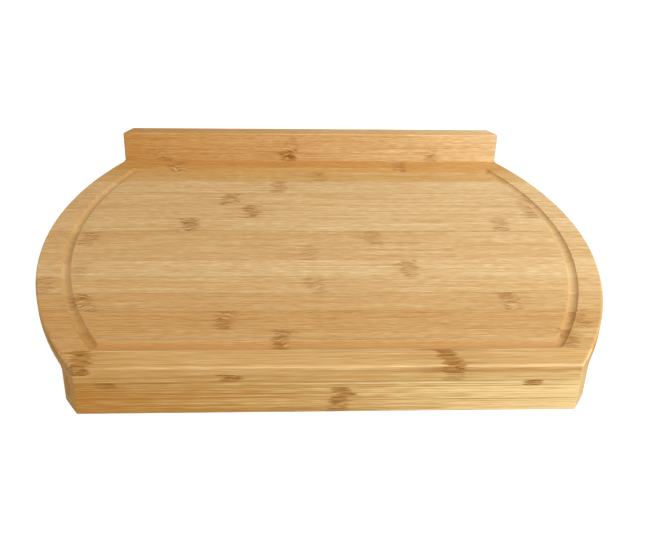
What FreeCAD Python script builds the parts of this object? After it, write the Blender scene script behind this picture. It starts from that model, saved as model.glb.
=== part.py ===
"""Bamboo cutting board that hooks over the edge of a worktop.

The board is two plies of glued bamboo strips with bulged sides and a juice groove. A rail stands along
its back edge and a lip hangs down along its front edge. Both are upright plies of strips, held by dowels.

Frame, in millimetres: X runs along the strips, Y from the front lip to the back rail, Z up. The origin is
the middle of the board's underside, the face that lies on the worktop.
"""
import FreeCAD, Part
import math
import os

import Sketcher

DIMENSIONS = {
    # Plan outline: straight front and back edges, joined by one arc on each side
    "board_width": 450.0,
    "board_depth": 350.0,
    "end_length": 344.0,
    "board_corner_round": 2.5,
    "board_edge_round": 2.0,
    # The rail and the lip are cut crisper than the board
    "block_corner_round": 1.2,
    "block_edge_round": 1.0,
    # Two plies of strips; the outer two of a ply are sawn narrower, and the others share the rest evenly
    "ply_thickness": 6.0,
    "strip_count": 15,
    "top_first_width": 20.25,
    "top_last_width": 11.25,
    "bottom_first_width": 14.0,
    "bottom_last_width": 17.5,
    # Juice groove, cut by a ball nose along the middle of its track
    "groove_width": 8.0,
    "groove_depth": 2.5,
    "groove_side_inset": 22.5,
    "groove_front_inset": 24.75,
    "groove_rail_gap": 21.0,
    # Stop rail, two upright plies of two strips; how high over the board each ply has its joint
    "rail_height": 28.0,
    "rail_thickness": 14.0,
    "rail_front_joint": 12.0,
    "rail_back_joint": 18.0,
    # Hooking lip, three upright plies of two strips; how far under the board each ply has its joint
    "lip_drop": 26.5,
    "lip_thickness": 18.0,
    "lip_front_joint": 5.0,
    "lip_middle_joint": 17.5,
    "lip_back_joint": 8.0,
    # Dowels, glued in with a film of glue around them
    "dowel_diameter": 4.0,
    "dowel_chamfer": 0.6,
    "dowel_in_board": 9.0,
    "dowel_in_block": 9.0,
    "dowel_end_inset": 21.0,
    "dowel_count": 5,
    "glue_film": 0.1,
}
LENGTH_TOLERANCE = 1e-4
# How a sketch's constraints number the points of an edge, its axes and its origin
START, END, CENTRE = range(1, 4)
X_AXIS, Y_AXIS = range(-1, -3, -1)
SKETCH_ORIGIN = X_AXIS, START

doc = FreeCAD.newDocument("worktop_board")
sheet = doc.addObject("Spreadsheet::Sheet", "dimensions")


def fill_sheet():
    """Write the driving dimensions, one row each: the name, and the number under that alias."""
    for row, (alias, number) in enumerate(DIMENSIONS.items(), start=1):
        sheet.set(f"A{row}", alias)
        sheet.set(f"B{row}", str(number))
        sheet.setAlias(f"B{row}", alias)
    doc.recompute()


def cell(expression):
    """Turn the aliases in an expression into references to the sheet."""
    words = expression.replace("(", "( ").replace(")", " )").split()
    return " ".join(f"dimensions.{word}" if word in DIMENSIONS else word for word in words)


def value(expression):
    """Read what an expression of sheet aliases comes to."""
    return float(sheet.evalExpression(cell(expression)))


# Places that several pieces share, as expressions of the sheet
FRONT = "( 0 - board_depth / 2 )"
BACK = "( board_depth / 2 )"
RAIL_FACE = "( board_depth / 2 - rail_thickness )"
LIP_FACE = "( lip_thickness - board_depth / 2 )"
BOARD_TOP = "( 2 * ply_thickness )"
RAIL_TOP = "( 2 * ply_thickness + rail_height )"
LIP_BOTTOM = "( 0 - lip_drop )"
# The board's bulge over its straight ends, half of it on each side, sets the radius of the side arcs
BULGE = "( board_width - end_length )"
SIDE_RADIUS = f"( ( {BULGE} ^ 2 + board_depth ^ 2 ) / ( 4 * {BULGE} ) )"
SIDE_CENTRE = f"( {SIDE_RADIUS} - board_width / 2 )"
# A ball that cuts the groove's width at the groove's depth
BALL_RADIUS = "( ( groove_width ^ 2 / 4 + groove_depth ^ 2 ) / ( 2 * groove_depth ) )"


def bind(obj, **expressions):
    """Bind properties to the sheet; a double underscore stands for a dot in a property's path."""
    for path, expression in expressions.items():
        obj.setExpression(path.replace("__", "."), cell(expression))


def origin_plane(body, role):
    return next(feature for feature in body.Origin.OriginFeatures if feature.Role == role)


def new_body(name):
    body = doc.addObject("PartDesign::Body", name)
    body.Label = name
    return body


def new_sketch(body, name, plane, offset="0"):
    """A sketch on one of the body's own origin planes, lifted off it by an offset."""
    sketch = body.newObject("Sketcher::SketchObject", name)
    sketch.AttachmentSupport = [(origin_plane(body, plane), "")]
    sketch.MapMode = "FlatFace"
    bind(sketch, AttachmentOffset__Base__z=offset)
    return sketch


def constrain(sketch, name, expression, *constraint):
    """Add a dimension to a sketch and bind it to the sheet."""
    index = sketch.addConstraint(Sketcher.Constraint(*constraint, value(expression)))
    sketch.renameConstraint(index, name)
    sketch.setExpression(f"Constraints.{name}", cell(expression))


def draw_outline(sketch, low, high, inset="0"):
    """Draw the plan outline between two depths, with the side arcs moved inwards by an inset.

    The loop starts at the middle of its front line, where a profile can be swept from.
    """
    y_low, y_high = value(low), value(high)
    radius = value(f"{SIDE_RADIUS} - {inset}")
    centre = value(SIDE_CENTRE)
    low_angle = math.asin(y_low / radius)
    high_angle = math.asin(y_high / radius)
    x_low = radius * math.cos(low_angle) - centre
    x_high = radius * math.cos(high_angle) - centre
    up = FreeCAD.Vector(0, 0, 1)

    def point(x, y):
        return FreeCAD.Vector(x, y, 0)

    def arc(x, start, end):
        return Part.ArcOfCircle(Part.Circle(point(x, 0), up, radius), start, end)

    front_right = sketch.addGeometry(Part.LineSegment(point(0, y_low), point(x_low, y_low)))
    right = sketch.addGeometry(arc(-centre, low_angle, high_angle))
    back = sketch.addGeometry(Part.LineSegment(point(x_high, y_high), point(-x_high, y_high)))
    left = sketch.addGeometry(arc(centre, math.pi - high_angle, math.pi - low_angle))
    front_left = sketch.addGeometry(Part.LineSegment(point(-x_low, y_low), point(0, y_low)))
    loop = [front_right, right, back, left, front_left]
    for edge, following in zip(loop, loop[1:] + loop[:1]):
        sketch.addConstraint(Sketcher.Constraint("Coincident", edge, END, following, START))
    for line in (front_right, back, front_left):
        sketch.addConstraint(Sketcher.Constraint("Horizontal", line))
    sketch.addConstraint(Sketcher.Constraint("PointOnObject", front_right, START, Y_AXIS))
    for side in (right, left):
        sketch.addConstraint(Sketcher.Constraint("PointOnObject", side, CENTRE, X_AXIS))
    constrain(sketch, "front", low, "DistanceY", *SKETCH_ORIGIN, front_right, START)
    constrain(sketch, "back", high, "DistanceY", *SKETCH_ORIGIN, back, START)
    constrain(sketch, "right_radius", f"{SIDE_RADIUS} - {inset}", "Radius", right)
    constrain(sketch, "left_radius", f"{SIDE_RADIUS} - {inset}", "Radius", left)
    constrain(sketch, "right_centre", SIDE_CENTRE, "DistanceX", right, CENTRE, *SKETCH_ORIGIN)
    constrain(sketch, "left_centre", SIDE_CENTRE, "DistanceX", *SKETCH_ORIGIN, left, CENTRE)


def round_edges(body, name, radius, chosen):
    """Fillet the edges of a body's last feature that a test chooses."""
    doc.recompute()
    base = body.Tip
    edges = [f"Edge{n}" for n, edge in enumerate(base.Shape.Edges, start=1) if chosen(edge)]
    fillet = body.newObject("PartDesign::Fillet", name)
    fillet.Base = (base, edges)
    bind(fillet, Radius=radius)
    doc.recompute()
    return fillet


def upright(edge):
    return len(edge.Vertexes) == 2 and abs(edge.BoundBox.ZLength - edge.Length) < LENGTH_TOLERANCE


def at_height(height):
    """A test for the edges that lie level at one height."""
    z = value(height)

    def lies_there(edge):
        box = edge.BoundBox
        return abs(box.ZMin - z) < LENGTH_TOLERANCE and abs(box.ZMax - z) < LENGTH_TOLERANCE

    return lies_there


def outline_block(name, low, high, bottom, top, kind, rounded=None):
    """A block of the plan outline between two depths and two heights, one of its ends rounded or none.

    The kind, board or block, picks how far its corners and its rim are rounded.
    """
    body = new_body(name)
    sketch = new_sketch(body, f"{name}_outline", "XY_Plane", bottom)
    draw_outline(sketch, low, high)
    pad = body.newObject("PartDesign::Pad", f"{name}_pad")
    pad.Profile = sketch
    pad.Refine = True
    bind(pad, Length=f"( {top} ) - ( {bottom} )")
    round_edges(body, f"{name}_corners", f"{kind}_corner_round", upright)
    if rounded:
        round_edges(body, f"{name}_rim", f"{kind}_edge_round", at_height(rounded))
    return body


def box(name, low, high, bottom, top):
    """A box across the whole board between two depths and two heights."""
    block = doc.addObject("Part::Box", name)
    bind(
        block,
        Length="2 * board_width",
        Width=f"( {high} ) - ( {low} )",
        Height=f"( {top} ) - ( {bottom} )",
        Placement__Base__x="0 - board_width",
        Placement__Base__y=low,
        Placement__Base__z=bottom,
    )
    return block


def combine(kind, name, base, tool):
    """A boolean of two objects: Cut, Common or Fuse."""
    result = doc.addObject(f"Part::{kind}", name)
    result.Base = base
    result.Tool = tool
    result.Refine = True
    result.Label = name
    return result


def ply_blank(name, bottom, top, rounded, kept_low, kept_high):
    """One whole ply: its rim is rounded, but stays square where the rail or the lip is glued to it."""
    whole = FRONT, BACK, bottom, top, "board"
    rim = outline_block(f"{name}_rounded", *whole, rounded)
    square = outline_block(f"{name}_square", *whole)
    under, over = f"{bottom} - ply_thickness", f"{top} + ply_thickness"
    glued = box(f"{name}_glued_zone", kept_low, kept_high, under, over)
    free_part = combine("Cut", f"{name}_free", rim, glued)
    glued_part = combine("Common", f"{name}_glued", square, glued)
    return combine("Fuse", f"{name}_blank", free_part, glued_part)


def groove_cutter():
    """The ball nose's track round the board: a tube along a loop, turned about its corners."""
    height = f"( {BOARD_TOP} - groove_depth + {BALL_RADIUS} )"
    front = f"( {FRONT} + groove_front_inset )"
    back = f"( {RAIL_FACE} - groove_rail_gap )"
    body = new_body("groove_cutter")
    path = new_sketch(body, "groove_path", "XY_Plane", height)
    draw_outline(path, front, back, "groove_side_inset")
    profile = new_sketch(body, "groove_profile", "YZ_Plane")
    centre = FreeCAD.Vector(value(front), value(height), 0)
    circle = profile.addGeometry(Part.Circle(centre, FreeCAD.Vector(0, 0, 1), value(BALL_RADIUS)))
    constrain(profile, "ball", BALL_RADIUS, "Radius", circle)
    constrain(profile, "front", front, "DistanceX", *SKETCH_ORIGIN, circle, CENTRE)
    constrain(profile, "height", height, "DistanceY", *SKETCH_ORIGIN, circle, CENTRE)
    doc.recompute()
    pipe = body.newObject("PartDesign::AdditivePipe", "groove_pipe")
    pipe.Profile = profile
    pipe.Spine = (path, [f"Edge{n}" for n in range(1, len(path.Shape.Edges) + 1)])
    pipe.Transition = "Round corner"
    doc.recompute()
    return body


def dowel_row(name, depth, bottom, top, film):
    """A row of upright dowels along X, or of their holes when a film of glue is added around them."""
    body = new_body(name)
    body.AllowCompound = True
    sketch = new_sketch(body, f"{name}_profile", "XZ_Plane", f"0 - {depth}")
    radius = f"( dowel_diameter / 2 + {film} )"
    inner = f"( {radius} - dowel_chamfer )"
    low, high = f"( {bottom} - {film} )", f"( {top} + {film} )"
    start_x = "( dowel_end_inset - end_length / 2 )"
    outline = [
        ("0", low),
        (inner, low),
        (radius, f"( {low} + dowel_chamfer )"),
        (radius, f"( {high} - dowel_chamfer )"),
        (inner, high),
        ("0", high),
    ]
    corners = [FreeCAD.Vector(value(f"{start_x} + {x}"), value(z), 0) for x, z in outline]
    for corner, following in zip(corners, corners[1:] + corners[:1]):
        sketch.addGeometry(Part.LineSegment(corner, following))
    for n, (x, z) in enumerate(outline):
        following = (n + 1) % len(outline)
        sketch.addConstraint(Sketcher.Constraint("Coincident", n, END, following, START))
        constrain(sketch, f"x_{n}", f"{start_x} + {x}", "DistanceX", *SKETCH_ORIGIN, n, START)
        constrain(sketch, f"z_{n}", z, "DistanceY", *SKETCH_ORIGIN, n, START)
    doc.recompute()
    turned = body.newObject("PartDesign::Revolution", f"{name}_turned")
    turned.Profile = sketch
    turned.ReferenceAxis = (sketch, [f"Edge{len(outline)}"])
    turned.Angle = 360.0
    doc.recompute()
    row = body.newObject("PartDesign::LinearPattern", f"{name}_pattern")
    row.Originals = [turned]
    row.Direction = (sketch, ["H_Axis"])
    bind(row, Length="end_length - 2 * dowel_end_inset", Occurrences="dowel_count")
    body.Tip = row
    doc.recompute()
    return body


def saw(blank, name, low, high, bottom, top):
    """One strip of a blank: what lies between two depths and two heights."""
    return combine("Common", name, blank, box(f"{name}_bounds", low, high, bottom, top))


def saw_ply(blank, ply, bottom, top):
    """All strips of a ply, from the front to the back; the outer two end where the blank does."""
    first, last = f"{ply}_first_width", f"{ply}_last_width"
    width = f"( ( board_depth - {first} - {last} ) / ( strip_count - 2 ) )"
    joints = [f"( {FRONT} + {first} + {n} * {width} )" for n in range(int(value("strip_count")) - 1)]
    edges = [f"( {FRONT} - {first} )", *joints, f"( {BACK} + {last} )"]
    strips = []
    for n, (low, high) in enumerate(zip(edges, edges[1:]), start=1):
        strips.append(saw(blank, f"{ply}_strip_{n:02d}", low, high, bottom, top))
    return strips


def board_strips(groove, rail_holes, lip_holes):
    """Both plies of the board, drilled for the dowels and grooved, then sawn into their strips."""
    middle = "ply_thickness"
    over, under = f"( {BOARD_TOP} + ply_thickness )", "( 0 - ply_thickness )"
    top_ply = ply_blank("top_ply", middle, BOARD_TOP, BOARD_TOP, RAIL_FACE, f"( {BACK} + rail_thickness )")
    bottom_ply = ply_blank("bottom_ply", "0", middle, "0", f"( {FRONT} - lip_thickness )", LIP_FACE)
    grooved = combine("Cut", "top_ply_grooved", top_ply, groove)
    strips = []
    for ply, blank, bottom, top in (("top", grooved, middle, over), ("bottom", bottom_ply, under, middle)):
        for_rail = combine("Cut", f"{ply}_ply_rail_drilled", blank, rail_holes)
        drilled = combine("Cut", f"{ply}_ply_drilled", for_rail, lip_holes)
        strips += saw_ply(drilled, ply, bottom, top)
    return strips


def laminated_block(prefix, plies, front, thickness, blank, holes, joint_height):
    """A drilled block sawn into upright plies, from the front to the back, of two strips each."""
    drilled = combine("Cut", f"{prefix}_drilled", blank, holes)
    count = len(plies)
    under, over = f"( {LIP_BOTTOM} - board_depth )", f"( {RAIL_TOP} + board_depth )"
    strips = []
    for n, ply in enumerate(plies):
        low = f"( {front} + {n} * {thickness} / {count} )" if n else f"( {front} - {thickness} )"
        step = n + 1 if n < count - 1 else 2 * count
        high = f"( {front} + {step} * {thickness} / {count} )"
        joint = joint_height(ply)
        strips.append(saw(drilled, f"{prefix}_{ply}_lower_strip", low, high, under, joint))
        strips.append(saw(drilled, f"{prefix}_{ply}_upper_strip", low, high, joint, over))
    return strips


def rail_strips(holes):
    """The stop rail on the back edge of the board."""
    blank = outline_block("rail_blank", RAIL_FACE, BACK, BOARD_TOP, RAIL_TOP, "block", RAIL_TOP)

    def joint_height(ply):
        return f"( {BOARD_TOP} + rail_{ply}_joint )"

    plies = ("front", "back")
    return laminated_block("rail", plies, RAIL_FACE, "rail_thickness", blank, holes, joint_height)


def lip_strips(holes):
    """The hooking lip under the front edge of the board."""
    blank = outline_block("lip_blank", FRONT, LIP_FACE, LIP_BOTTOM, "0", "block", LIP_BOTTOM)

    def joint_height(ply):
        return f"( 0 - lip_{ply}_joint )"

    plies = ("front", "middle", "back")
    return laminated_block("lip", plies, FRONT, "lip_thickness", blank, holes, joint_height)


def check_and_write(subparts):
    """Stop on any failed object or a cut that removes nothing; then write each sub-part to its own file."""
    doc.recompute()
    failed = [obj.Label for obj in doc.Objects if {"Invalid", "Error"} & set(obj.State)]
    solids = subparts + [obj for obj in doc.Objects if obj.TypeId.startswith("PartDesign::Body")]
    failed += [obj.Label for obj in solids if obj.Shape.isNull() or not obj.Shape.isValid()]
    failed += [obj.Label for obj in solids if not obj.Shape.Solids]
    cuts = [obj for obj in doc.Objects if obj.TypeId == "Part::Cut"]
    failed += [obj.Label for obj in cuts if obj.Shape.Volume > obj.Base.Shape.Volume - LENGTH_TOLERANCE]
    if failed:
        raise RuntimeError(f"these failed: {failed}")
    os.makedirs("parts", exist_ok=True)
    for part in subparts:
        part.Shape.exportStep(f"parts/{part.Label}.step")
        size = part.Shape.BoundBox
        print(f"{part.Label}: {len(part.Shape.Solids)} solid(s), {part.Shape.Volume:.0f} mm3, "
              f"{size.XLength:.1f} x {size.YLength:.1f} x {size.ZLength:.1f} mm")


def main():
    fill_sheet()
    rail_middle = "( board_depth / 2 - rail_thickness / 2 )"
    lip_middle = "( lip_thickness / 2 - board_depth / 2 )"
    rail_row = rail_middle, f"( {BOARD_TOP} - dowel_in_board )", f"( {BOARD_TOP} + dowel_in_block )"
    lip_row = lip_middle, "( 0 - dowel_in_block )", "dowel_in_board"
    rail_dowels = dowel_row("rail_dowels", *rail_row, "0")
    lip_dowels = dowel_row("lip_dowels", *lip_row, "0")
    rail_holes = dowel_row("rail_dowel_holes", *rail_row, "glue_film")
    lip_holes = dowel_row("lip_dowel_holes", *lip_row, "glue_film")
    subparts = board_strips(groove_cutter(), rail_holes, lip_holes)
    subparts += rail_strips(rail_holes)
    subparts += lip_strips(lip_holes)
    check_and_write(subparts + [rail_dowels, lip_dowels])


main()
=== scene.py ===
# %% [markdown]
# # A bamboo board that hooks over a worktop edge
# The real object is a kitchen board glued up from bamboo strips: two plies lie flat, a rail stands along the
# back and a lip hangs down along the front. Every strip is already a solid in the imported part, so this
# lesson models no new piece of the board. It spends its effort on what the solids lack: the grain, the
# knuckles, the glue joints and the satin oil finish of the bamboo.

import math
import random

import bpy
from mathutils import Matrix, Vector


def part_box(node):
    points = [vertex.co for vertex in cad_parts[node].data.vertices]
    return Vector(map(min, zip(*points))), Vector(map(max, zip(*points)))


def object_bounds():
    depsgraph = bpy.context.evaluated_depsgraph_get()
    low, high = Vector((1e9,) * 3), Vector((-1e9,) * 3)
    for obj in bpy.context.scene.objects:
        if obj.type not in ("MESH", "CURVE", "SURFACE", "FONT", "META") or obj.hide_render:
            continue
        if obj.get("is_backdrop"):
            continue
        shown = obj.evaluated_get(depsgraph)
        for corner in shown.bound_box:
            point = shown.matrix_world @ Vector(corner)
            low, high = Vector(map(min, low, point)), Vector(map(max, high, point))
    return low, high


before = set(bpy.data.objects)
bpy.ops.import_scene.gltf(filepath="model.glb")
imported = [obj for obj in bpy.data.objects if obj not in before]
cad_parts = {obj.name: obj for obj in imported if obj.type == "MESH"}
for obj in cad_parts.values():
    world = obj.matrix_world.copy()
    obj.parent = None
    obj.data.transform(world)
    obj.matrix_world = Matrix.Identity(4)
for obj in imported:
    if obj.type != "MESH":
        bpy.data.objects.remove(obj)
cad_low, cad_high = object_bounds()
strips = sorted(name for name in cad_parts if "strip" in name)
print(len(strips), "bamboo strips in a box of", [round(size, 4) for size in cad_high - cad_low], "metres")

# %% [markdown]
# ## The camera
# The photograph was taken from in front of the board, a little to its left, looking down by about thirty
# degrees. A camera could be pointed at the board by a Track To constraint, but the photograph is also rolled
# a little, so the three turns are written out and multiplied, from the last one to the first.

# %% Place the camera
PHOTO_WIDTH = 645
FOCAL_LENGTH_IN_PIXELS = 947.6
CAMERA_PLACE = Vector((-0.0400, -0.6870, 0.3900))
LOOKING_DOWN, TURNED_RIGHT, ROLLED_LEFT = math.radians(30.48), math.radians(3.61), math.radians(1.72)

bpy.ops.object.select_all(action="DESELECT")
bpy.ops.object.camera_add()
camera = bpy.context.object
camera.name = "photo_camera"
camera.data.lens = camera.data.sensor_width * FOCAL_LENGTH_IN_PIXELS / PHOTO_WIDTH
camera.matrix_world = (
    Matrix.Translation(CAMERA_PLACE)
    @ Matrix.Rotation(-TURNED_RIGHT, 4, "Z")
    @ Matrix.Rotation(math.radians(90) - LOOKING_DOWN, 4, "X")
    @ Matrix.Rotation(ROLLED_LEFT, 4, "Z")
)
bpy.context.scene.camera = camera
print("lens of", round(camera.data.lens, 1), "mm")

# %% [markdown]
# ## Small helpers for node trees
# Materials are built from many small nodes. These helpers add one node each, take a number or another node's
# output for every input, and hand back the output, so that a pattern reads like a formula.


# %% Helpers that add one node each
def feed(tree, socket, value):
    """Set an input to a number, or link it to another node's output."""
    if isinstance(value, bpy.types.NodeSocket):
        tree.links.new(value, socket)
    else:
        socket.default_value = value


def calculate(tree, operation, *values):
    node = tree.nodes.new("ShaderNodeMath")
    node.operation = operation
    for socket, value in zip(node.inputs, values):
        feed(tree, socket, value)
    return node.outputs[0]


def vector(tree, x, y, z):
    node = tree.nodes.new("ShaderNodeCombineXYZ")
    for socket, value in zip(node.inputs, (x, y, z)):
        feed(tree, socket, value)
    return node.outputs[0]


def stretch(tree, place, factors):
    """Scale the three axes of a vector apart, so that a round pattern becomes long along the fibres."""
    node = tree.nodes.new("ShaderNodeVectorMath")
    node.operation = "MULTIPLY"
    feed(tree, node.inputs[0], place)
    feed(tree, node.inputs[1], factors)
    return node.outputs[0]


def noise(tree, place, detail=2.0):
    node = tree.nodes.new("ShaderNodeTexNoise")
    feed(tree, node.inputs["Vector"], place)
    node.inputs["Scale"].default_value = 1.0
    node.inputs["Detail"].default_value = detail
    return node.outputs["Fac"]


def ease(tree, value, low, high):
    """A smooth step from 0 at the low value to 1 at the high one, which may be the smaller of the two."""
    node = tree.nodes.new("ShaderNodeMapRange")
    node.interpolation_type = "SMOOTHSTEP"
    feed(tree, node.inputs["Value"], value)
    feed(tree, node.inputs["From Min"], low)
    feed(tree, node.inputs["From Max"], high)
    return node.outputs["Result"]


def pick(tree, share, first, second):
    """The first number where the share is 0 and the second where it is 1."""
    node = tree.nodes.new("ShaderNodeMix")
    feed(tree, node.inputs["Factor"], share)
    feed(tree, node.inputs["A"], first)
    feed(tree, node.inputs["B"], second)
    return node.outputs["Result"]


def blend_colour(tree, share, first, second):
    node = tree.nodes.new("ShaderNodeMix")
    node.data_type = "RGBA"
    feed(tree, node.inputs["Factor"], share)
    for name, value in (("A", first), ("B", second)):
        feed(tree, next(s for s in node.inputs if s.name == name and s.type == "RGBA"), value)
    return next(s for s in node.outputs if s.type == "RGBA")


def screen_colour(red, green, blue):
    """The linear colour of the 0 to 255 values that a screen shows."""
    def linear(value):
        share = value / 255
        return share / 12.92 if share <= 0.04045 else ((share + 0.055) / 1.055) ** 2.4

    return linear(red), linear(green), linear(blue), 1.0


# %% A helper that starts a node group
def new_group(name, inputs, outputs):
    """An empty shader group with float inputs and typed outputs, and its two end nodes."""
    tree = bpy.data.node_groups.new(name, "ShaderNodeTree")
    for socket in inputs:
        tree.interface.new_socket(socket, in_out="INPUT", socket_type="NodeSocketFloat")
    for socket, kind in outputs.items():
        tree.interface.new_socket(socket, in_out="OUTPUT", socket_type=f"NodeSocket{kind}")
    return tree, tree.nodes.new("NodeGroupInput").outputs, tree.nodes.new("NodeGroupOutput").inputs


def place_group(tree, group, **values):
    """Put a group into a tree; a keyword's underscores stand for the spaces in an input's name."""
    node = tree.nodes.new("ShaderNodeGroup")
    node.node_tree = group
    for name, value in values.items():
        feed(tree, node.inputs[name.replace("_", " ")], value)
    return node.outputs


# %% [markdown]
# ## Bamboo fibres
# Bamboo has no growth rings. It is a pale ground with thousands of fibre bundles that all run along the
# stalk: on a strip's face they show as fine dark lines, and on its cut end as dots. A flat line texture
# would smear on the ends, so every pattern here fills space, drawn out along the fibres and fine across them.

# %% Build the fibre group
# How much each layer of streaks counts, and how it is scaled along and across the fibres
STREAK_LAYERS = (
    (0.26, (5.0, 720.0, 720.0)),
    (0.36, (28.0, 950.0, 950.0)),
    (0.50, (110.0, 1100.0, 1100.0)),
)
BAND_SCALE, BUNDLE_SCALE = (5.0, 160.0, 160.0), (5.0, 500.0, 500.0)
BUNDLE_RIM, BUNDLE_CORE = 0.36, 0.10
# How far one step of the seed moves the patterns along, across and into a strip
SEED_STEPS = {"Along": 1.7, "Across": 0.31, "Depth": 0.17}

fibres, given, result = new_group(
    "bamboo_fibres",
    ("Along", "Across", "Depth", "Seed", "Reach", "Fineness"),
    {"Bands": "Float", "Streaks": "Float", "Bundles": "Float"},
)
moved = []
for axis, step in SEED_STEPS.items():
    moved.append(calculate(fibres, "MULTIPLY_ADD", given["Seed"], step, given[axis]))
shifted = vector(fibres, *moved)
feed(fibres, result["Bands"], noise(fibres, stretch(fibres, shifted, BAND_SCALE)))
shorter = calculate(fibres, "DIVIDE", 1.0, given["Reach"])
fine = stretch(fibres, shifted, vector(fibres, shorter, given["Fineness"], given["Fineness"]))
streaks = (1.0 - sum(share for share, _ in STREAK_LAYERS)) / 2
for share, factors in STREAK_LAYERS:
    layer = noise(fibres, stretch(fibres, fine, factors), detail=1.0)
    streaks = calculate(fibres, "MULTIPLY_ADD", layer, share, streaks)
feed(fibres, result["Streaks"], streaks)
cells = fibres.nodes.new("ShaderNodeTexVoronoi")
cells.inputs["Scale"].default_value = 1.0
feed(fibres, cells.inputs["Vector"], stretch(fibres, fine, BUNDLE_SCALE))
feed(fibres, result["Bundles"], ease(fibres, cells.outputs["Distance"], BUNDLE_RIM, BUNDLE_CORE))
print("fibre group with", len(fibres.nodes), "nodes")

# %% [markdown]
# ## Knuckles
# Where a leaf once grew, the stalk has a ring, and each strip keeps a piece of it: a brown patch about a
# centimetre long, crossed by wavy dark dashes and pale glints, with darker fibres trailing off to both
# sides. It could be painted, but a formula stays sharp at any distance: it asks how far a point is from the
# ring.

# %% Build the knuckle group
PATCH_HALF_LENGTH = 0.0078
DASH_HALF_LENGTH = 0.0090
TAIL_LENGTH = 0.050
# The share of its length over which a part of the knuckle shows in full
FULL_PATCH, FULL_RIPPLE, FULL_TAIL = 0.6, 0.35, 0.0
# How far the ring bends, its rim frays and its dashes swing, in metres
BEND, FRAY, WAVE = 0.018, 0.020, 0.007
BEND_SCALE, FRAY_SCALE, WAVE_SCALE = (0.0, 70.0, 70.0), (15.0, 480.0, 480.0), (150.0, 110.0, 110.0)
DASHES_ALONG, DASHES_ACROSS = 75.0, 850.0
# Where in its noise a mark begins to show, and where it shows in full
DASH_FROM, DASH_FULL = 0.52, 0.58
GLINT_FROM, GLINT_FULL = 0.44, 0.37
TAIL_FROM, TAIL_FULL = 0.48, 0.72
STRONGEST_GLINT = 0.8

knuckle, given, result = new_group(
    "bamboo_knuckle",
    ("Along", "Across", "Depth", "Seed", "Place", "Strength", "Curl", "Fineness"),
    {"Patch": "Float", "Dashes": "Float", "Glints": "Float", "Tail": "Float"},
)
own_along = calculate(knuckle, "ADD", given["Along"], given["Seed"])
own_across = calculate(knuckle, "ADD", given["Across"], given["Place"])
own_depth = calculate(knuckle, "ADD", given["Depth"], given["Seed"])
ring_place = vector(knuckle, own_along, own_across, own_depth)
bend = noise(knuckle, stretch(knuckle, ring_place, BEND_SCALE), detail=1.0)
fray = noise(knuckle, stretch(knuckle, ring_place, FRAY_SCALE))
warp = noise(knuckle, stretch(knuckle, ring_place, WAVE_SCALE), detail=0.0)
swing = calculate(knuckle, "MULTIPLY", given["Curl"], WAVE)
wavy = vector(knuckle, own_along, calculate(knuckle, "MULTIPLY_ADD", warp, swing, own_across), own_depth)
across = calculate(knuckle, "MULTIPLY", given["Fineness"], DASHES_ACROSS)
dash_scale = vector(knuckle, DASHES_ALONG, across, across)
ripple = noise(knuckle, stretch(knuckle, wavy, dash_scale), detail=1.0)

bent = given["Along"]
for pattern, swerve in ((bend, BEND), (fray, FRAY)):
    bent = calculate(knuckle, "MULTIPLY_ADD", calculate(knuckle, "SUBTRACT", pattern, 0.5), swerve, bent)
distance = calculate(knuckle, "ABSOLUTE", calculate(knuckle, "SUBTRACT", bent, given["Place"]))


def near_ring(half_length, share_of_full, strength=given["Strength"]):
    """1 close to the ring, fading to 0 at the half length, and scaled by a strength."""
    fade = ease(knuckle, distance, half_length, half_length * share_of_full)
    return calculate(knuckle, "MULTIPLY", fade, strength)


feed(knuckle, result["Patch"], near_ring(PATCH_HALF_LENGTH, FULL_PATCH))
glint = calculate(knuckle, "MULTIPLY", given["Curl"], STRONGEST_GLINT)
glint = calculate(knuckle, "MINIMUM", given["Strength"], glint)
for output, reach, low, high in (
    ("Dashes", near_ring(DASH_HALF_LENGTH, FULL_RIPPLE), DASH_FROM, DASH_FULL),
    ("Glints", near_ring(PATCH_HALF_LENGTH, FULL_RIPPLE, glint), GLINT_FROM, GLINT_FULL),
):
    feed(knuckle, result[output], calculate(knuckle, "MULTIPLY", reach, ease(knuckle, ripple, low, high)))
frayed = ease(knuckle, fray, TAIL_FROM, TAIL_FULL)
feed(knuckle, result["Tail"], calculate(knuckle, "MULTIPLY", near_ring(TAIL_LENGTH, FULL_TAIL), frayed))
print("knuckle group with", len(knuckle.nodes), "nodes")

# %% [markdown]
# ## Glue joints
# Between two strips a hair of glue shows as a thin dark line. The strips are separate solids that touch, so
# there is no gap to cast it. Each joint is drawn once, on the strip whose high side it is: the line darkens
# the last fraction of a millimetre before that side. The plies are pressed tighter, so the joints between
# them show less.

# %% Build the glue joint group
PLY_JOINT_SHARE = 0.3
GLUE_SCALE = (14.0, 90.0, 90.0)
GLUE_FROM, GLUE_FULL = 0.25, 0.65

joint, given, result = new_group(
    "glue_joint",
    ("Along", "Across", "Depth", "Line Width", "Across High", "Depth High"),
    {"Line": "Float"},
)


def joint_line(axis):
    """1 on the glued side that ends the strip along this axis, fading to 0 a line's width before it."""
    room = calculate(joint, "SUBTRACT", given[f"{axis} High"], given[axis])
    return ease(joint, room, given["Line Width"], 0.0)


weak = calculate(joint, "MULTIPLY", joint_line("Depth"), PLY_JOINT_SHARE)
lines = calculate(joint, "MAXIMUM", joint_line("Across"), weak)
joint_place = vector(joint, given["Along"], given["Across High"], given["Depth High"])
uneven = ease(joint, noise(joint, stretch(joint, joint_place, GLUE_SCALE)), GLUE_FROM, GLUE_FULL)
feed(joint, result["Line"], calculate(joint, "MULTIPLY", lines, uneven))
print("joint group with", len(joint.nodes), "nodes")

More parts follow.
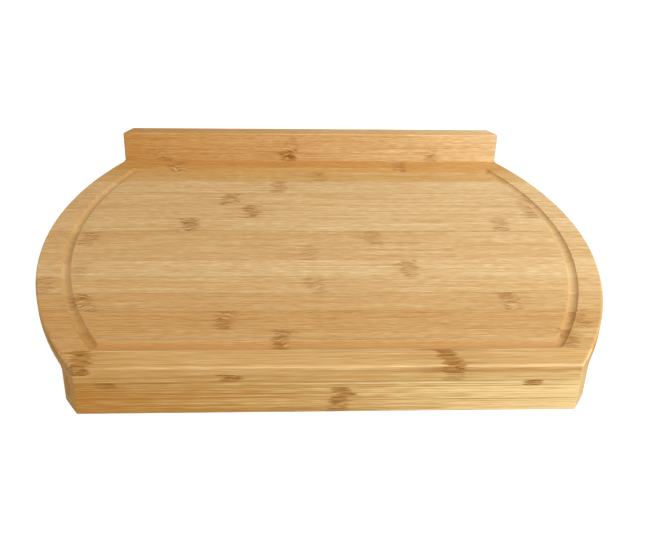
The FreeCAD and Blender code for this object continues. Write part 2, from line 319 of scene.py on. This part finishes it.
# %% [markdown]
# ## Bamboo colour
# One group puts the patterns together: bands and streaks pick a tone between dark honey and pale straw, then
# bundles, knuckles and glue darken it. A strip's own tone shifts the whole range, as no two strips come from
# the same stalk; its lean paints light and shade, darker towards the left end and paler towards the right,
# where the light falls; and its grain sets the streaks' contrast. Where the fibres are cut through, at the
# ends, they soak up more oil and go darker. The groove's steep walls and the floor of its front run are
# darkened as painted shade, and its other runs are a touch lighter. A painted highlight makes the rounded
# edges of the ungrooved strips pale, fading out left of the middle. The router leaves the groove smoother
# than the faces around it. The oil dries to a satin, so the roughness is high and there is no coat.

# %% Build the bamboo group
HONEY = screen_colour(178, 123, 52)
TAN = screen_colour(202, 163, 108)
STRAW = screen_colour(237, 210, 164)
BUNDLE_BROWN = screen_colour(160, 112, 48)
KNUCKLE_BROWN = screen_colour(158, 106, 30)
DASH_BROWN = screen_colour(138, 86, 18)
GLUE_BROWN = screen_colour(128, 84, 32)
GOLD_TINT, END_TINT = (1.0, 0.97, 0.79, 1.0), (0.93, 1.0, 1.06, 1.0)
BAND_CONTRAST, STREAK_CONTRAST = 0.22, 1.4
# How much of its colour each mark of a knuckle lays over the strip, in the order that they are laid
KNUCKLE_MARKS = {
    "Tail": (0.5, BUNDLE_BROWN),
    "Patch": (0.44, KNUCKLE_BROWN),
    "Dashes": (0.7, DASH_BROWN),
    "Glints": (0.5, STRAW),
}
BUNDLE_SHARE, HIGHLIGHT_SHARE, GLUE_SHARE = 0.36, 0.4, 0.75
# How far below the face the router's work begins to show and shows in full, and how much grain it leaves
ROUTED_FROM, ROUTED_FULL, ROUTED_GRAIN = 0.0004, 0.0012, 0.3
# Oil darkens a cut end, painted shade darkens a groove wall, and an end keeps this share of the painted lean
END_SOAK, WALL_SHADE, END_SHADING = 0.25, 0.10, 0.25
# How far a surface has to turn, as parts of its normal, to count as an end, a wall or a rounded edge
UPRIGHT_AGAINST_END = -2.0
END_FROM, END_FULL = 0.3, 0.8
WALL_FROM, WALL_FULL = 0.8, 0.55
EDGE_FROM, EDGE_FULL = 0.90, 0.74
# Where along the board the painted highlight on its edges begins, and where it shows in full
UNLIT_EDGE_END, LIT_EDGE_END = -0.18, 0.02
SATIN_ROUGHNESS, BUNDLE_ROUGHNESS, END_ROUGHNESS = 0.58, 0.1, 1.0
BUNDLE_HEIGHT = -0.6

SHARED_INPUTS = ("Along", "Across", "Depth", "Seed")
STRIP_INPUTS = ("Reach", "Fineness", "Tone", "Lean", "Grain", "Gold", "Curl", "Face", "Soak", "Wear")
FACING_INPUTS = ("Sideways", "Forward", "Upright")
KNUCKLE_INPUTS = ("Knuckle 1", "Strength 1", "Knuckle 2", "Strength 2", "Knuckle 3", "Strength 3")
SIDE_INPUTS = ("Line Width", "Across High", "Depth High")
bamboo, given, result = new_group(
    "bamboo",
    (*SHARED_INPUTS, *STRIP_INPUTS, *FACING_INPUTS, *KNUCKLE_INPUTS, *SIDE_INPUTS),
    {"Colour": "Color", "Roughness": "Float", "Height": "Float"},
)
shared = {name: given[name] for name in SHARED_INPUTS}
axes = {name: given[name] for name in ("Along", "Across", "Depth")}
fibre = place_group(bamboo, fibres, **shared, Reach=given["Reach"], Fineness=given["Fineness"])
sides = {name.replace(" ", "_"): given[name] for name in SIDE_INPUTS}
glue = place_group(bamboo, joint, **axes, **sides)


def distance_to(knuckle_place):
    return calculate(bamboo, "ABSOLUTE", calculate(bamboo, "SUBTRACT", given["Along"], knuckle_place))


nearest, strength = given["Knuckle 1"], given["Strength 1"]
for number in (2, 3):
    closer = calculate(bamboo, "LESS_THAN", distance_to(given[f"Knuckle {number}"]), distance_to(nearest))
    nearest = pick(bamboo, closer, nearest, given[f"Knuckle {number}"])
    strength = pick(bamboo, closer, strength, given[f"Strength {number}"])
own = {name: given[name] for name in ("Curl", "Fineness")}
ring = place_group(bamboo, knuckle, **shared, **own, Place=nearest, Strength=strength)

endwise = calculate(bamboo, "MULTIPLY_ADD", given["Upright"], UPRIGHT_AGAINST_END, given["Sideways"])
end = ease(bamboo, endwise, END_FROM, END_FULL)
below_face = calculate(bamboo, "SUBTRACT", given["Face"], given["Depth"])
routed = ease(bamboo, below_face, ROUTED_FROM, ROUTED_FULL)
# Painted shade on the groove's steep walls
steep = calculate(bamboo, "SUBTRACT", ease(bamboo, given["Upright"], WALL_FROM, WALL_FULL), end)
wall = calculate(bamboo, "MULTIPLY", steep, ease(bamboo, below_face, 0.0, ROUTED_FROM))
# Painted shade on the groove's front-run floor, darker oiled cut ends, and painted shade on the walls
oil_and_shade = calculate(bamboo, "MULTIPLY", routed, given["Soak"])
oil_and_shade = calculate(bamboo, "MULTIPLY_ADD", end, END_SOAK, oil_and_shade)
oil_and_shade = calculate(bamboo, "MULTIPLY_ADD", wall, WALL_SHADE, oil_and_shade)
# Painted light and shade: the lean makes the tone paler to the right, where the light falls
painted_lean = calculate(bamboo, "MULTIPLY", given["Lean"], pick(bamboo, end, 1.0, END_SHADING))
own_tone = calculate(bamboo, "MULTIPLY_ADD", given["Along"], painted_lean, given["Tone"])
own_tone = calculate(bamboo, "SUBTRACT", own_tone, oil_and_shade)
centred_bands = calculate(bamboo, "SUBTRACT", fibre["Bands"], 0.5)
banded = calculate(bamboo, "MULTIPLY_ADD", centred_bands, BAND_CONTRAST, own_tone)
centred_streaks = calculate(bamboo, "SUBTRACT", fibre["Streaks"], 0.5)
smoothed = pick(bamboo, routed, 1.0, ROUTED_GRAIN)
grain = calculate(bamboo, "MULTIPLY", given["Grain"], smoothed)
contrast = calculate(bamboo, "MULTIPLY", grain, STREAK_CONTRAST)
ramp = bamboo.nodes.new("ShaderNodeValToRGB")
for element, tone_colour in zip(ramp.color_ramp.elements, (HONEY, STRAW)):
    element.color = tone_colour
ramp.color_ramp.elements.new(0.5).color = TAN
feed(bamboo, ramp.inputs["Fac"], calculate(bamboo, "MULTIPLY_ADD", centred_streaks, contrast, banded))


def mix_in(colour, mask, amount, other):
    return blend_colour(bamboo, calculate(bamboo, "MULTIPLY", mask, amount), colour, other)


grained = calculate(bamboo, "MULTIPLY", fibre["Bundles"], grain)
colour = mix_in(ramp.outputs["Color"], grained, BUNDLE_SHARE, BUNDLE_BROWN)
gold = calculate(bamboo, "MULTIPLY", given["Gold"], calculate(bamboo, "SUBTRACT", 1.0, end))
for share, tint in ((gold, GOLD_TINT), (end, END_TINT)):
    colour = blend_colour(bamboo, share, colour, tint)
    colour.node.blend_type = "MULTIPLY"
# Painted highlight: rounded edges turn pale straw, from nothing left of the middle to full on the right
squarest = calculate(bamboo, "MAXIMUM", given["Forward"], given["Upright"])
squarest = calculate(bamboo, "MAXIMUM", given["Sideways"], squarest)
edge_light = calculate(bamboo, "MULTIPLY", given["Wear"], ease(bamboo, given["Along"], UNLIT_EDGE_END, LIT_EDGE_END))
edge = calculate(bamboo, "MULTIPLY", ease(bamboo, squarest, EDGE_FROM, EDGE_FULL), edge_light)
colour = mix_in(colour, edge, HIGHLIGHT_SHARE, STRAW)
for mark, (share, mark_colour) in KNUCKLE_MARKS.items():
    colour = mix_in(colour, ring[mark], share, mark_colour)
colour = mix_in(colour, glue["Line"], GLUE_SHARE, GLUE_BROWN)
feed(bamboo, result["Colour"], colour)
satin = calculate(bamboo, "MULTIPLY_ADD", fibre["Bundles"], BUNDLE_ROUGHNESS, SATIN_ROUGHNESS)
feed(bamboo, result["Roughness"], pick(bamboo, end, satin, END_ROUGHNESS))
sunk = calculate(bamboo, "MULTIPLY_ADD", fibre["Bundles"], BUNDLE_HEIGHT, fibre["Streaks"])
sunk = calculate(bamboo, "MULTIPLY", sunk, smoothed)
feed(bamboo, result["Height"], calculate(bamboo, "SUBTRACT", sunk, glue["Line"]))
print("bamboo group with", len(bamboo.nodes), "nodes")

# %% [markdown]
# ## What each strip looks like
# The knuckles are this board's fingerprint, so the ones that the photograph shows are listed one by one:
# where they lie along the strip, in millimetres from the middle, and how strongly they show. The strips that
# no photograph shows get theirs by chance, with the usual stalk length between two rings.

# %% Describe the strips
TOP_KNUCKLES = {
    1: ((-169, 1.7), (82, 1.7)),
    2: ((-32, 0.9), (172, 0.8)),
    3: ((-73, 0.8), (185, 0.7)),
    4: ((-178, 0.9), (139, 0.8)),
    5: ((-5, 0.5), (-212, 0.6)),
    6: ((70, 0.8), (-188, 0.4)),
    7: ((-10, 0.4),),
    8: ((-188, 0.8), (45, 0.6)),
    9: ((-109, 0.9), (158, 0.6)),
    10: ((-58, 0.9), (190, 0.6)),
    11: ((-75, 0.9), (188, 0.4)),
    12: ((-32, 0.6),),
    13: ((5, 0.5),),
    14: ((-130, 0.8), (84, 0.8)),
}
OTHER_KNUCKLES = {
    "bottom_strip_01": ((-68, 1.6), (84, 0.6)),
    "rail_front_lower_strip": ((-146, 0.5), (-21, 1.4), (115, 0.6)),
    "rail_front_upper_strip": ((-20, 0.3),),
    "rail_back_upper_strip": ((60, 0.3),),
    "lip_front_upper_strip": ((-149, 1.6), (140, 1.6)),
    "lip_front_lower_strip": ((6, 1.1),),
}
# A strip's tone: 0 is dark honey and 1 is pale straw
TOP_TONES = {
    1: 0.43, 2: 0.38, 3: 0.31, 4: 0.40, 5: 0.51, 6: 0.62, 7: 0.51, 8: 0.51,
    9: 0.61, 10: 0.58, 11: 0.57, 12: 0.60, 13: 0.44, 14: 0.25, 15: 0.35,
}
OTHER_TONES = {"top": 0.52, "bottom": 0.54, "rail": 0.43, "lip": 0.57}
# How golden a strip of the top is, between 0 and 1; the other strips of the front are 1 and the rest 0
TOP_GOLDS = {1: 0.5, 13: 0.6, 14: 0.6, 15: 0.6}
STALK_BETWEEN_RINGS = 280
FIRST_RING_RANGE = (-215, -30)
USUAL_STRENGTHS = (0.5, 0.9)
KNUCKLES_IN_A_STRIP = 3
NO_KNUCKLE = (1000.0, 0.0)


def knuckles_by_chance(dice):
    first_place = dice.uniform(*FIRST_RING_RANGE)
    places = (first_place, first_place + STALK_BETWEEN_RINGS)
    return [(place, dice.uniform(*USUAL_STRENGTHS)) for place in places]


def knuckles_of(name, dice):
    """The knuckles of a strip, filled up to three, as places in metres with their strengths."""
    known = dict(OTHER_KNUCKLES)
    known.update({f"top_strip_{number:02d}": seen for number, seen in TOP_KNUCKLES.items()})
    found = list(known.get(name) or knuckles_by_chance(dice))
    found += [NO_KNUCKLE] * (KNUCKLES_IN_A_STRIP - len(found))
    return [(place / 1000, strength) for place, strength in found]


print("knuckles placed by hand on", len(TOP_KNUCKLES) + len(OTHER_KNUCKLES), "strips")

# %% [markdown]
# ## Which sides are glued
# A glue line belongs only where a strip lies against another. Every strip's box is measured from its mesh, so
# a point just outside the middle of its high side is tried against all the other boxes.

# %% Find the glued sides of a strip
HAIR = 0.0001
FAR_AWAY = 1.0
boxes = {name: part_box(name) for name in strips}


def touches_another(name, axis):
    low, high = boxes[name]
    point = (low + high) / 2
    point[axis] = high[axis] + HAIR
    others = [box for other, box in boxes.items() if other != name]
    return any(all(a[n] <= point[n] <= b[n] for n in range(3)) for a, b in others)


def glued_sides(name, across, depth):
    """Where the two high sides of a strip are; one that is not glued counts as far away."""
    sides = {}
    for label, axis in (("Across", across), ("Depth", depth)):
        sides[f"{label}_High"] = boxes[name][1][axis] if touches_another(name, axis) else FAR_AWAY
    return sides


print("sides of the first strip:", glued_sides("top_strip_01", 1, 2))

# %% [markdown]
# ## One material for each strip
# The strips share the bamboo group, and each gets its own material that fills in its values: where it lies,
# its knuckles and its tone. On the flat plies the width of a strip runs along Y, and on the upright plies of
# the rail and the lip along Z, so the coordinates are handed over in that order. The front shows the strips
# edge on, where the fibres lie closest: there the grain is longer and finer, and the knuckles are flatter.

# %% Give every strip its bamboo
# How far each block's tone leans from dark at the left to pale at the right, as painted light and shade
SHADING_LEANS = {"top": 0.38, "bottom": 0.9, "rail": 1.6, "lip": 2.9}
GRAINS = {"top": 1.05, "bottom": 1.05, "rail": 1.0, "lip": 2.2}
FRONT_STRIP_GRAIN = 1.4
FRONT_REACH, FRONT_FINENESS, FRONT_CURL = 2.2, 2.0, 0.35
GLUE_LINES = {"lip_front_upper_strip": 0.0015}
FINE_LINE, BOARD_LINE = 0.0003, 0.0008
# Painted shade on the groove's floor: how much darker its front run is, and elsewhere a touch lighter
FRONT_RUN_SHADE, OTHER_RUN_SHADE = 0.16, -0.02
TONE_SPREAD, SHADING_SPREAD = 0.04, 0.1
BUMP_STRENGTH, BUMP_HEIGHT = 0.25, 0.0002
SATIN_SHINE = 0.3
GROOVED_STRIPS = [f"top_strip_{number:02d}" for number in range(2, 15)]


def bamboo_material(name, seed):
    dice = random.Random(seed)
    block = name.split("_")[0]
    flat = block in ("top", "bottom")
    in_front = block == "lip" or name.endswith("strip_01")
    across, depth = (1, 2) if flat else (2, 1)
    knuckles = {}
    for order, (where, strength) in enumerate(knuckles_of(name, dice), start=1):
        knuckles[f"Knuckle_{order}"] = where
        knuckles[f"Strength_{order}"] = strength
    number = int(name[-2:]) if block == "top" else 0
    material = bpy.data.materials.new(f"bamboo_{name}")
    material.use_nodes = True
    tree = material.node_tree
    shader = tree.nodes["Principled BSDF"]
    coordinates = tree.nodes.new("ShaderNodeTexCoord")
    place, facing = tree.nodes.new("ShaderNodeSeparateXYZ"), tree.nodes.new("ShaderNodeSeparateXYZ")
    tree.links.new(coordinates.outputs["Object"], place.inputs[0])
    tree.links.new(coordinates.outputs["Normal"], facing.inputs[0])
    sideways, forward, upright = (calculate(tree, "ABSOLUTE", output) for output in facing.outputs)
    look = place_group(
        tree,
        bamboo,
        Along=place.outputs[0],
        Across=place.outputs[across],
        Depth=place.outputs[depth],
        Seed=float(seed),
        Reach=FRONT_REACH if in_front else 1.0,
        Fineness=FRONT_FINENESS if in_front else 1.0,
        Tone=TOP_TONES.get(number, OTHER_TONES[block] + dice.uniform(-TONE_SPREAD, TONE_SPREAD)),
        Lean=SHADING_LEANS[block] + dice.uniform(-SHADING_SPREAD, SHADING_SPREAD),
        Grain=FRONT_STRIP_GRAIN if name.endswith("strip_01") else GRAINS[block],
        Gold=TOP_GOLDS.get(number, 1.0 if in_front else 0.0),
        Curl=FRONT_CURL if in_front else 1.0,
        Face=boxes[name][1].z if name in GROOVED_STRIPS else -FAR_AWAY,
        Soak=FRONT_RUN_SHADE if number == 2 else OTHER_RUN_SHADE,
        Wear=0.0 if name in GROOVED_STRIPS else 1.0,
        Sideways=sideways,
        Forward=forward,
        Upright=upright,
        Line_Width=GLUE_LINES.get(name, FINE_LINE) if not flat else dice.uniform(FINE_LINE, BOARD_LINE),
        **knuckles,
        **glued_sides(name, across, depth),
    )
    bump = tree.nodes.new("ShaderNodeBump")
    bump.inputs["Strength"].default_value = BUMP_STRENGTH
    bump.inputs["Distance"].default_value = BUMP_HEIGHT
    tree.links.new(look["Height"], bump.inputs["Height"])
    tree.links.new(bump.outputs["Normal"], shader.inputs["Normal"])
    tree.links.new(look["Colour"], shader.inputs["Base Color"])
    tree.links.new(look["Roughness"], shader.inputs["Roughness"])
    shader.inputs["Specular IOR Level"].default_value = SATIN_SHINE
    return material


for seed, name in enumerate(strips, start=1):
    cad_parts[name].material_slots[0].material = bamboo_material(name, seed)
print("materials for", len(strips), "strips")

# %% [markdown]
# ## Dowels
# The dowels are turned bamboo pins that sit inside the board, where nobody sees them. They still get fibres,
# which run along the pin and so along Z, in case someone takes the board apart.

# %% Give the dowels their wood
DOWEL_SEED = 60.0
DOWEL_ROUGHNESS, DOWEL_BUNDLE_ROUGHNESS = 0.6, 0.15

dowel_wood = bpy.data.materials.new("dowel_bamboo")
dowel_wood.use_nodes = True
tree = dowel_wood.node_tree
place = tree.nodes.new("ShaderNodeSeparateXYZ")
tree.links.new(tree.nodes.new("ShaderNodeTexCoord").outputs["Object"], place.inputs[0])
pin_fibres = place_group(
    tree,
    fibres,
    Along=place.outputs[2],
    Across=place.outputs[0],
    Depth=place.outputs[1],
    Seed=DOWEL_SEED,
    Reach=1.0,
    Fineness=1.0,
)
pin_colour = blend_colour(tree, pin_fibres["Streaks"], HONEY, STRAW)
tree.links.new(pin_colour, tree.nodes["Principled BSDF"].inputs["Base Color"])
pin_bundles = pin_fibres["Bundles"]
pin_roughness = calculate(tree, "MULTIPLY_ADD", pin_bundles, DOWEL_BUNDLE_ROUGHNESS, DOWEL_ROUGHNESS)
tree.links.new(pin_roughness, tree.nodes["Principled BSDF"].inputs["Roughness"])
for name in ("rail_dowels", "lip_dowels"):
    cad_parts[name].material_slots[0].material = dowel_wood
print("two rows of dowels in", dowel_wood.name)

# %% [markdown]
# ## Floor and plinth
# The photograph shows the board on plain white. The lip needs room to hang down, so the board lies on a low
# plinth that stands for the worktop, narrower than the board so that it hides no edge. Both are pale and
# matte. A little light of their own, for the camera and reflections only, lifts them to white and keeps the
# shadow.

# %% Make the floor and the plinth
FLOOR_SIZE = 12.0
FLOOR_GLOW = 0.86
STAGE_GREY, WHITE = (0.36, 0.36, 0.36, 1.0), (1.0, 1.0, 1.0, 1.0)
STAGE_ROUGHNESS = 0.9
PLINTH_SIDE_INSET = 0.060
PLINTH_GAP_TO_LIP = 0.001
PLINTH_BACK_INSET = 0.030

stage_white = bpy.data.materials.new("stage_white")
stage_white.use_nodes = True
tree = stage_white.node_tree
rays = tree.nodes.new("ShaderNodeLightPath")
seen = calculate(tree, "MAXIMUM", rays.outputs["Is Camera Ray"], rays.outputs["Is Glossy Ray"])
seen = calculate(tree, "MAXIMUM", seen, rays.outputs["Is Transmission Ray"])
glow = calculate(tree, "MULTIPLY", seen, FLOOR_GLOW)
shader = tree.nodes["Principled BSDF"]
shader.inputs["Base Color"].default_value = STAGE_GREY
shader.inputs["Roughness"].default_value = STAGE_ROUGHNESS
shader.inputs["Emission Color"].default_value = WHITE
tree.links.new(glow, shader.inputs["Emission Strength"])

bpy.ops.object.select_all(action="DESELECT")
bpy.ops.mesh.primitive_plane_add(size=FLOOR_SIZE, location=(0.0, 0.0, cad_low.z))
floor = bpy.context.object
floor.name = "floor"

lip_back = boxes["lip_back_lower_strip"][1].y
plinth_width = cad_high.x - cad_low.x - 2 * PLINTH_SIDE_INSET
plinth_depth = cad_high.y - PLINTH_BACK_INSET - lip_back - PLINTH_GAP_TO_LIP
bpy.ops.object.select_all(action="DESELECT")
bpy.ops.mesh.primitive_cube_add(
    size=1.0,
    location=(0.0, lip_back + PLINTH_GAP_TO_LIP + plinth_depth / 2, cad_low.z / 2),
    scale=(plinth_width, plinth_depth, -cad_low.z),
)
plinth = bpy.context.object
plinth.name = "plinth"
for piece in (floor, plinth):
    piece.data.materials.append(stage_white)
    piece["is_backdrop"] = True
print("plinth of", [round(size, 3) for size in plinth.dimensions], "metres")

# %% [markdown]
# ## Light
# The photograph is lit softly all round, and more from the right: there the groove's outer wall is dark and
# its inner one bright. So the key lamp stands to the right. The faces that look at the camera are lightest
# at their right end too, so a second lamp stands low in front on that side. A weak third one on the left
# keeps the ends there from going grey, and a slightly warm world fills the rest.

# %% Light the scene
bpy.context.scene.view_settings.view_transform = "Standard"
WORLD_LIGHT = 0.43
WORLD_COLOUR = (1.0, 0.94, 0.85, 1.0)
BOARD_MIDDLE = Vector((0.0, 0.0, 0.0))
# The place of each lamp, the side of its square in metres and its power in watts
LAMPS = {
    "key_lamp": (Vector((0.74, -0.12, 0.78)), 0.5, 6.6),
    "front_lamp": (Vector((0.95, -1.25, 0.45)), 1.2, 20.0),
    "left_lamp": (Vector((-0.90, -0.30, 0.45)), 0.8, 3.6),
}

world = bpy.data.worlds.new("studio")
bpy.context.scene.world = world
world.use_nodes = True
tree = world.node_tree
background = tree.nodes["Background"]
rays = tree.nodes.new("ShaderNodeLightPath")
seen = calculate(tree, "MAXIMUM", rays.outputs["Is Camera Ray"], rays.outputs["Is Transmission Ray"])
feed(tree, background.inputs["Strength"], pick(tree, seen, WORLD_LIGHT, 1.0))
feed(tree, background.inputs["Color"], blend_colour(tree, seen, WORLD_COLOUR, WHITE))


def add_lamp(name, place, size, watts):
    """Add a square lamp that looks at the middle of the board."""
    bpy.ops.object.select_all(action="DESELECT")
    bpy.ops.object.light_add(type="AREA", location=place)
    lamp = bpy.context.object
    lamp.name = name
    lamp.data.size = size
    lamp.data.energy = watts
    lamp.rotation_euler = (BOARD_MIDDLE - place).to_track_quat("-Z", "Y").to_euler()


for name, (place, size, watts) in LAMPS.items():
    add_lamp(name, place, size, watts)
print("world at", WORLD_LIGHT, "with lamps of", [watts for _, _, watts in LAMPS.values()], "watts")

# %% [markdown]
# ## Finish
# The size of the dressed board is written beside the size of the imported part, to see that they agree.

# %% Write the sizes and finish
low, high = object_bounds()
print("dressed size", [round(size, 4) for size in high - low])
